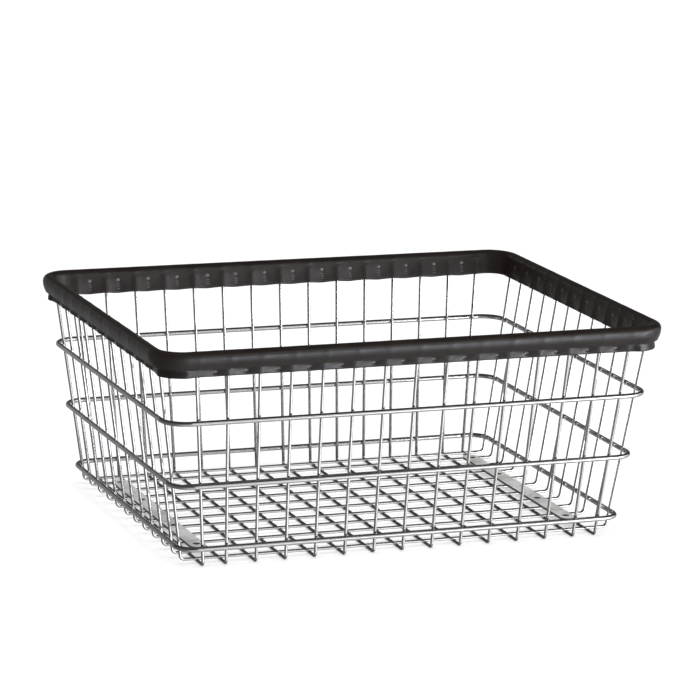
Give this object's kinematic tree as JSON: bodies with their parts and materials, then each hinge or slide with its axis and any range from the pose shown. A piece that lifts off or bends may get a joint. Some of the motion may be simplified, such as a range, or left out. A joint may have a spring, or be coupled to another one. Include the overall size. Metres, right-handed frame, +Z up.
{
  "type": "wire basket",
  "caption": "Rectangular open wire basket with outward-leaning walls, outer hoops, a soft bumper round its rim and drilled strips on its floor for bolting it down.",
  "frame": {"origin": "middle of the footprint, at the height of the surface the basket stands on", "axes": "+X to the right along the long side, +Y to the back, +Z up"},
  "size_m": [0.6642, 0.5142, 0.2738],
  "materials": {
    "bright_wire": "bright plated steel wire, polished",
    "strip_steel": "plated flat steel, a little duller than the wire",
    "vinyl": "black vinyl, satin"
  },
  "bodies": {
    "root": {"cross_wire_01": "bright_wire", "cross_wire_02": "bright_wire", "cross_wire_03": "bright_wire", "cross_wire_04": "bright_wire", "cross_wire_05": "bright_wire", "cross_wire_06": "bright_wire", "cross_wire_07": "bright_wire", "cross_wire_08": "bright_wire", "cross_wire_09": "bright_wire", "cross_wire_10": "bright_wire", "cross_wire_11": "bright_wire", "cross_wire_12": "bright_wire", "cross_wire_13": "bright_wire", "cross_wire_14": "bright_wire", "cross_wire_15": "bright_wire", "side_wire_01": "bright_wire", "side_wire_02": "bright_wire", "side_wire_03": "bright_wire", "side_wire_04": "bright_wire", "side_wire_05": "bright_wire", "side_wire_06": "bright_wire", "side_wire_07": "bright_wire", "side_wire_08": "bright_wire", "side_wire_09": "bright_wire", "side_wire_10": "bright_wire", "side_wire_11": "bright_wire", "side_wire_12": "bright_wire", "lower_hoop": "bright_wire", "middle_hoop": "bright_wire", "upper_hoop": "bright_wire", "rim_wire": "bright_wire", "left_mounting_strip": "strip_steel", "right_mounting_strip": "strip_steel", "bumper": "vinyl"}
  },
  "joints": []
}
